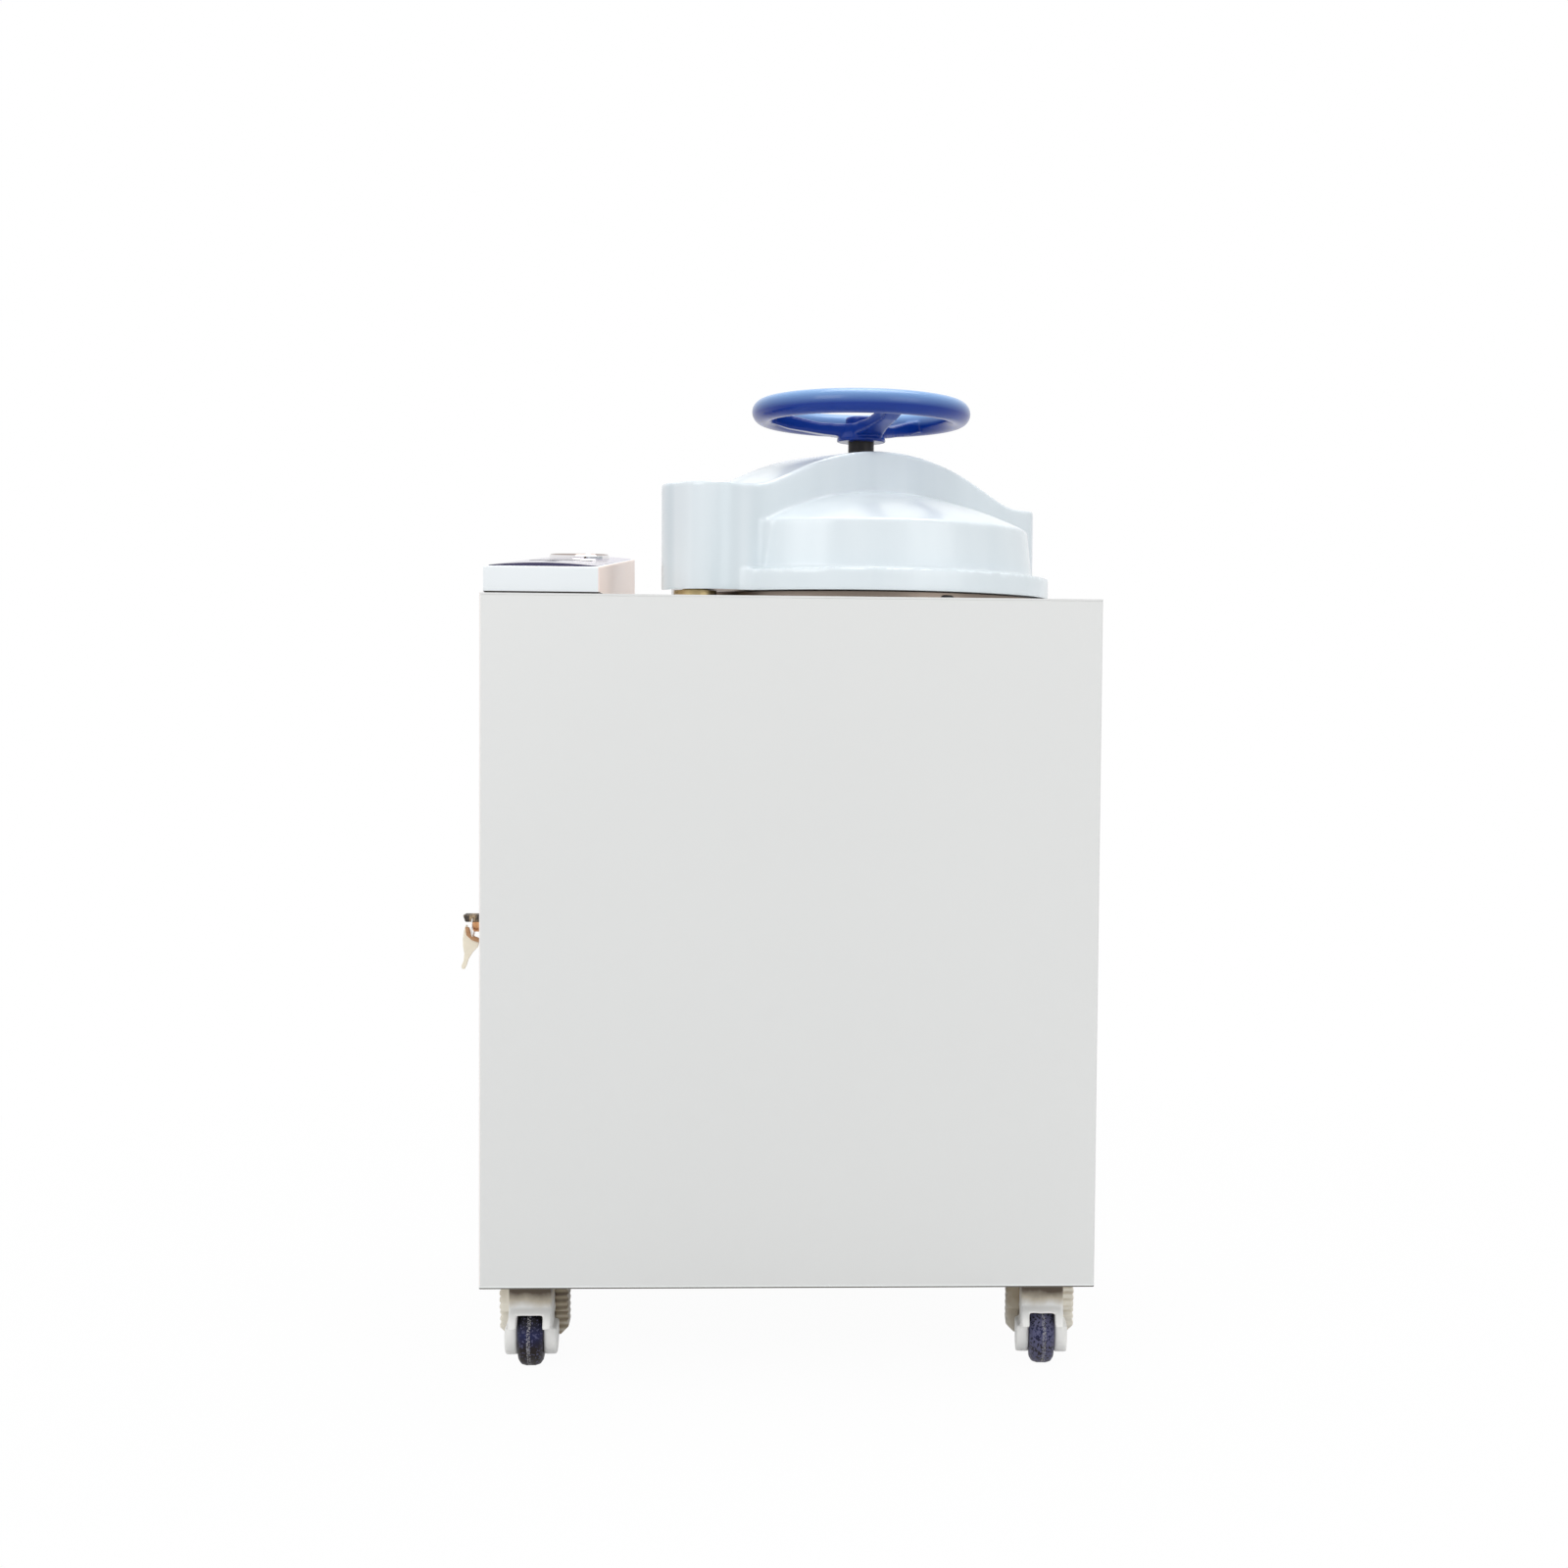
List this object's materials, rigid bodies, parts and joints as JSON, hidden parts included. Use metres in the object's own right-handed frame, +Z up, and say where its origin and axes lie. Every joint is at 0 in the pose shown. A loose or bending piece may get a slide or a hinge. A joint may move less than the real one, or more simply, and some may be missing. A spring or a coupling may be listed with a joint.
{
  "type": "vertical autoclave",
  "caption": "Floor-standing vertical steam autoclave: steel cabinet on casters, swing-aside domed lid with a handwheel screw, control strip with pressure gauge, chamber with basket",
  "frame": {"origin": "middle of the whole object's footprint, on the floor under the casters", "axes": "+Z up; +Y to the back, so the plain front faces -Y; +X to the right, so the control strip and the service door are on the -X side"},
  "size_m": [0.6339, 0.5, 1.0008],
  "materials": {
    "cabinet_paint": "smooth powder coat",
    "frame_paint": "satin",
    "cover_plastic": "gloss",
    "blue_plastic": "gloss",
    "stainless": "brushed",
    "plain_steel": "zinc plated",
    "black_steel": "black oxide",
    "brass": "machined",
    "chrome": "polished",
    "seal_rubber": "satin",
    "wheel_rubber": "satin",
    "caster_nylon": "moulded",
    "insulation": "foil faced",
    "overlay_film": "gloss film",
    "clear_glass": "clear",
    "pointer_black": "matt",
    "key_plastic": "moulded",
    "key_metal": "worn",
    "dark_plastic": "moulded",
    "button_plastic": "moulded",
    "tank_plastic": "translucent look",
    "board_green": "solder mask",
    "grip_vinyl": "dipped"
  },
  "bodies": {
    "cabinet": {"chassis": "frame_paint", "top_plate": "cabinet_paint", "front_panel": "cabinet_paint", "rear_panel": "cabinet_paint", "right_panel": "cabinet_paint", "panel_screws": "plain_steel", "deck_plate": "plain_steel", "chamber_vessel": "stainless", "chamber_flange": "stainless", "insulation_jacket": "insulation", "vessel_stand": "plain_steel", "heater_element": "stainless", "rack_plate": "stainless", "probes": "stainless", "basket": "stainless", "hinge_pillar": "plain_steel", "catch_post": "brass", "control_housing": "cabinet_paint", "control_overlay": "overlay_film", "gauge_case": "chrome", "gauge_glass": "clear_glass", "pipework": "stainless", "drain_valve": "brass", "solenoid_valve": "dark_plastic", "safety_valve": "brass", "collecting_bottle": "tank_plastic", "controller_board": "board_green", "breaker_body": "dark_plastic", "power_gland": "dark_plastic", "caster_plates": "plain_steel"},
    "lid_arm": {"lid_cover": "cover_plastic", "lid_beam": "plain_steel", "spindle_nut": "brass"},
    "lid_head": {"pressure_lid": "stainless", "lid_gasket": "seal_rubber"},
    "wheel_set": {"spindle": "black_steel", "handwheel": "blue_plastic", "wheel_cap": "blue_plastic"},
    "door_leaf": {"service_door": "cabinet_paint", "lock_body": "chrome"},
    "lock_plug": {"lock_key": "key_metal", "key_ring": "chrome"},
    "hanging_key": {"spare_key": "key_plastic"},
    "pointer": {"gauge_pointer": "pointer_black"},
    "bail": {"basket_bail": "stainless"},
    "valve_lever": {"drain_lever": "grip_vinyl"},
    "toggle": {"breaker_toggle": "dark_plastic"},
    "key_1": {"button_1": "button_plastic"},
    "key_2": {"button_2": "button_plastic"},
    "key_3": {"button_3": "button_plastic"},
    "fork_fl": {"caster_fork_fl": "caster_nylon"},
    "roller_fl": {"caster_wheel_fl": "wheel_rubber"},
    "pedal_fl": {"brake_pedal_fl": "caster_nylon"},
    "fork_fr": {"caster_fork_fr": "caster_nylon"},
    "roller_fr": {"caster_wheel_fr": "wheel_rubber"},
    "pedal_fr": {"brake_pedal_fr": "caster_nylon"},
    "fork_rl": {"caster_fork_rl": "caster_nylon"},
    "roller_rl": {"caster_wheel_rl": "wheel_rubber"},
    "fork_rr": {"caster_fork_rr": "caster_nylon"},
    "roller_rr": {"caster_wheel_rr": "wheel_rubber"}
  },
  "joints": [
    {"name": "arm_swing", "type": "hinge", "parent": "cabinet", "child": "lid_arm", "pos_m": [0.24375, 0.1254, 0.792], "axis": [0, 0, 1], "range_deg": [0, 110]},
    {"name": "lid_lift", "type": "slide", "parent": "lid_arm", "child": "lid_head", "axis": [0, 0, 1], "range_m": [0, 0.01]},
    {"name": "handwheel_turn", "type": "hinge", "parent": "lid_head", "child": "wheel_set", "pos_m": [0.08224, -0.015, 0.988], "axis": [0, 0, 1], "range_deg": [0, 720]},
    {"name": "door_swing", "type": "hinge", "parent": "cabinet", "child": "door_leaf", "pos_m": [-0.28726, 0.191, 0.4365], "axis": [0, 0, -1], "range_deg": [0, 105]},
    {"name": "lock_turn", "type": "hinge", "parent": "door_leaf", "child": "lock_plug", "pos_m": [-0.29526, -0.215, 0.455], "axis": [1, 0, 0], "range_deg": [0, 90]},
    {"name": "spare_key_swing", "type": "hinge", "parent": "lock_plug", "child": "hanging_key", "pos_m": [-0.30526, -0.2217, 0.4385], "axis": [0, 1, 0], "range_deg": [0, 35]},
    {"name": "gauge_needle", "type": "hinge", "parent": "cabinet", "child": "pointer", "pos_m": [-0.23546, 0.113, 0.83401], "axis": [0, 0.0795, -0.9968], "range_deg": [0, 270]},
    {"name": "bail_swing", "type": "hinge", "parent": "cabinet", "child": "bail", "pos_m": [0.08224, -0.015, 0.646], "axis": [-1, 0, 0], "range_deg": [0, 90]},
    {"name": "drain_turn", "type": "hinge", "parent": "cabinet", "child": "valve_lever", "pos_m": [-0.19526, -0.015, 0.165], "axis": [0, 0, 1], "range_deg": [0, 90]},
    {"name": "breaker_flip", "type": "hinge", "parent": "cabinet", "child": "toggle", "pos_m": [-0.22726, 0.1365, 0.401], "axis": [-1, 0, 0], "range_deg": [0, 50]},
    {"name": "button_press_1", "type": "slide", "parent": "cabinet", "child": "key_1", "axis": [0, 0.0795, -0.9968], "range_m": [0, 0.0006], "stiffness_N_per_m": 400, "springref_m": -0.0005},
    {"name": "button_press_2", "type": "slide", "parent": "cabinet", "child": "key_2", "axis": [0, 0.0795, -0.9968], "range_m": [0, 0.0006], "stiffness_N_per_m": 400, "springref_m": -0.0005},
    {"name": "button_press_3", "type": "slide", "parent": "cabinet", "child": "key_3", "axis": [0, 0.0795, -0.9968], "range_m": [0, 0.0006], "stiffness_N_per_m": 400, "springref_m": -0.0005},
    {"name": "caster_swivel_fl", "type": "hinge", "parent": "cabinet", "child": "fork_fl", "pos_m": [-0.25126, -0.165, 0.094], "axis": [0, 0, 1], "continuous": true},
    {"name": "caster_roll_fl", "type": "hinge", "parent": "fork_fl", "child": "roller_fl", "pos_m": [-0.25039, -0.18998, 0.0315], "axis": [0.9994, 0.0349, 0], "continuous": true},
    {"name": "brake_fl", "type": "hinge", "parent": "fork_fl", "child": "pedal_fl", "pos_m": [-0.25126, -0.165, 0.052], "axis": [-0.9994, -0.0349, 0], "range_deg": [0, 8]},
    {"name": "caster_swivel_fr", "type": "hinge", "parent": "cabinet", "child": "fork_fr", "pos_m": [0.27074, -0.165, 0.094], "axis": [0, 0, 1], "continuous": true},
    {"name": "caster_roll_fr", "type": "hinge", "parent": "fork_fr", "child": "roller_fr", "pos_m": [0.269, -0.18994, 0.0315], "axis": [0.9976, -0.0698, 0], "continuous": true},
    {"name": "brake_fr", "type": "hinge", "parent": "fork_fr", "child": "pedal_fr", "pos_m": [0.27074, -0.165, 0.052], "axis": [-0.9976, 0.0698, 0], "range_deg": [0, 8]},
    {"name": "caster_swivel_rl", "type": "hinge", "parent": "cabinet", "child": "fork_rl", "pos_m": [-0.25126, 0.135, 0.094], "axis": [0, 0, 1], "continuous": true},
    {"name": "caster_roll_rl", "type": "hinge", "parent": "fork_rl", "child": "roller_rl", "pos_m": [-0.25126, 0.11, 0.0315], "axis": [1, 0, 0], "continuous": true},
    {"name": "caster_swivel_rr", "type": "hinge", "parent": "cabinet", "child": "fork_rr", "pos_m": [0.27074, 0.135, 0.094], "axis": [0, 0, 1], "continuous": true},
    {"name": "caster_roll_rr", "type": "hinge", "parent": "fork_rr", "child": "roller_rr", "pos_m": [0.27074, 0.11, 0.0315], "axis": [1, 0, 0], "continuous": true}
  ],
  "couplings": [
    {"joint": "lid_lift", "follows": "handwheel_turn", "m_per_rad": 0.00079577}
  ]
}
